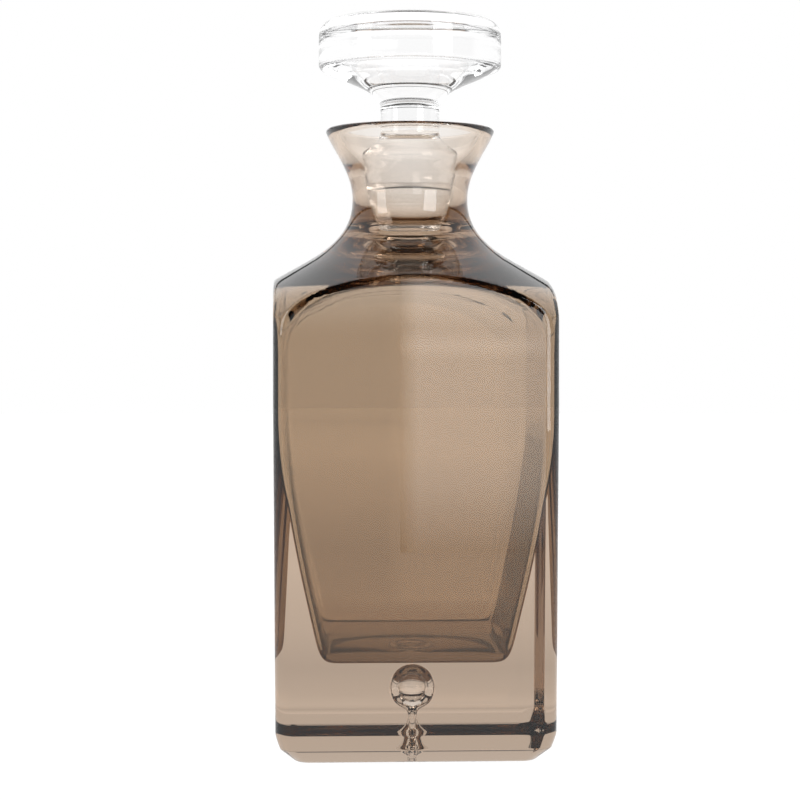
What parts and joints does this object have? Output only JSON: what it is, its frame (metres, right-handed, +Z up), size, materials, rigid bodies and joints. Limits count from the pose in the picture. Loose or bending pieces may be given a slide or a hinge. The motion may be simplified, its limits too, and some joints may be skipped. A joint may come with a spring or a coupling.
{
  "type": "square glass decanter",
  "caption": "Square tinted glass decanter with a waisted neck, thick base with a teardrop air bubble, and a clear disc-headed stopper that lifts out.",
  "frame": {"origin": "centre of the underside, on the plane the decanter rests on", "axes": "+Z up along the axis of the neck; -Y and +X are the outward normals of two flat faces"},
  "size_m": [0.0954, 0.0954, 0.254],
  "materials": {
    "smoke_glass": "polished, smoky taupe tint",
    "clear_glass": "polished, clear"
  },
  "bodies": {
    "decanter": {"decanter_body": "smoke_glass"},
    "stopper": {"stopper": "clear_glass"}
  },
  "joints": [
    {"name": "stopper_lift", "type": "slide", "parent": "decanter", "child": "stopper", "axis": [0, 0, 1], "range_m": [0, 0.05]}
  ]
}
